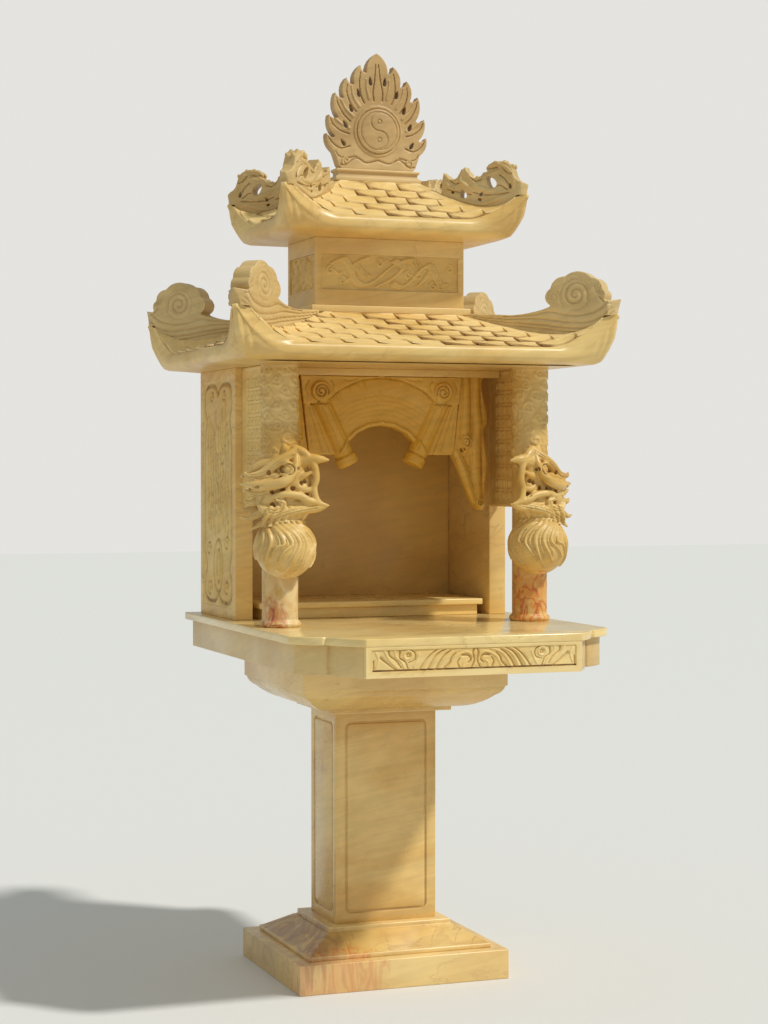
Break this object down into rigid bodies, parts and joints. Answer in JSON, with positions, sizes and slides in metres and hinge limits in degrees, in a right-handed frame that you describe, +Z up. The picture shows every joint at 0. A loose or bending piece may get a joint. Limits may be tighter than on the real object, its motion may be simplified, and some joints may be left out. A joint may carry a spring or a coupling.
{
  "type": "stone spirit house",
  "caption": "Carved marble spirit house: two-tier shrine with upswept roofs, open niche, dragon columns and a flame crest, on a moulded pedestal with a projecting altar table.",
  "frame": {"origin": "middle of the underside of the base slab, on the ground", "axes": "+Z up, -Y is the front with the open niche and the projecting table, +X to the right seen from the front"},
  "size_m": [1.078, 1.165, 2.536],
  "materials": {
    "polished_marble": "polished honey-yellow marble with soft veins",
    "carved_marble": "honed and carved honey-yellow marble, paler in the cuts"
  },
  "bodies": {
    "root": {"base_plinth": "polished_marble", "base_moulding": "polished_marble", "pedestal_shaft": "polished_marble", "pedestal_cap": "polished_marble", "table_apron": "polished_marble", "table_slab": "polished_marble", "front_frieze": "carved_marble", "left_wall": "carved_marble", "right_wall": "carved_marble", "back_wall": "polished_marble", "altar_riser": "polished_marble", "altar_board": "polished_marble", "lintel": "polished_marble", "door_head": "carved_marble", "left_bracket": "carved_marble", "right_bracket": "carved_marble", "left_column": "carved_marble", "right_column": "carved_marble", "left_spandrel": "carved_marble", "right_spandrel": "carved_marble", "left_dragon": "carved_marble", "right_dragon": "carved_marble", "lower_roof": "carved_marble", "front_left_scroll": "carved_marble", "front_right_scroll": "carved_marble", "back_left_scroll": "carved_marble", "back_right_scroll": "carved_marble", "upper_ledge": "polished_marble", "upper_body": "carved_marble", "upper_roof": "carved_marble", "front_left_roof_dragon": "carved_marble", "front_right_roof_dragon": "carved_marble", "back_left_roof_dragon": "carved_marble", "back_right_roof_dragon": "carved_marble", "ridge_block": "polished_marble", "flame": "carved_marble", "front_disc": "carved_marble", "back_disc": "carved_marble"}
  },
  "joints": []
}
